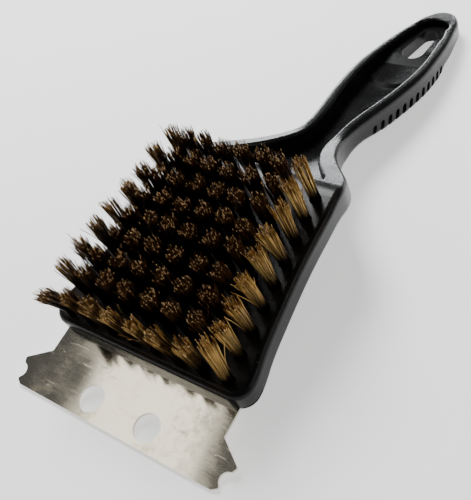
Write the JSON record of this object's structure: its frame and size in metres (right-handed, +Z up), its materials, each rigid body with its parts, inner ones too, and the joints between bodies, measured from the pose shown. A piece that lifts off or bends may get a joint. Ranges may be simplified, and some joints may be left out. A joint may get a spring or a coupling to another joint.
{
  "type": "grill cleaning brush",
  "caption": "Hand brush for grill grates: wire tufts in a moulded head with a bent, channelled handle, a hanging hole and a notched steel scraper along the front edge.",
  "frame": {"origin": "on the surface that the brush lies on, bristles up, under the middle of its box", "axes": "+Z up, the way the bristles point; +Y from the scraper to the handle's tip; +X across the head"},
  "size_m": [0.0852, 0.2538, 0.0507],
  "materials": {
    "black_plastic": "satin black moulded plastic",
    "scraper_steel": "brushed stainless steel sheet, worn",
    "screw_steel": "plated steel",
    "brass_wire": "dull golden brass wire",
    "anchor_steel": "plain steel strip"
  },
  "bodies": {
    "root": {"body": "black_plastic", "scraper_plate": "scraper_steel", "scraper_screws": "screw_steel", "tuft_row_1": "brass_wire", "tuft_row_2": "brass_wire", "tuft_row_3": "brass_wire", "tuft_row_4": "brass_wire", "tuft_row_5": "brass_wire", "tuft_row_6": "brass_wire", "tuft_row_7": "brass_wire", "tuft_row_8": "brass_wire", "tuft_row_9": "brass_wire", "anchor_row_1": "anchor_steel", "anchor_row_2": "anchor_steel", "anchor_row_3": "anchor_steel", "anchor_row_4": "anchor_steel", "anchor_row_5": "anchor_steel", "anchor_row_6": "anchor_steel", "anchor_row_7": "anchor_steel", "anchor_row_8": "anchor_steel", "anchor_row_9": "anchor_steel"}
  },
  "joints": []
}
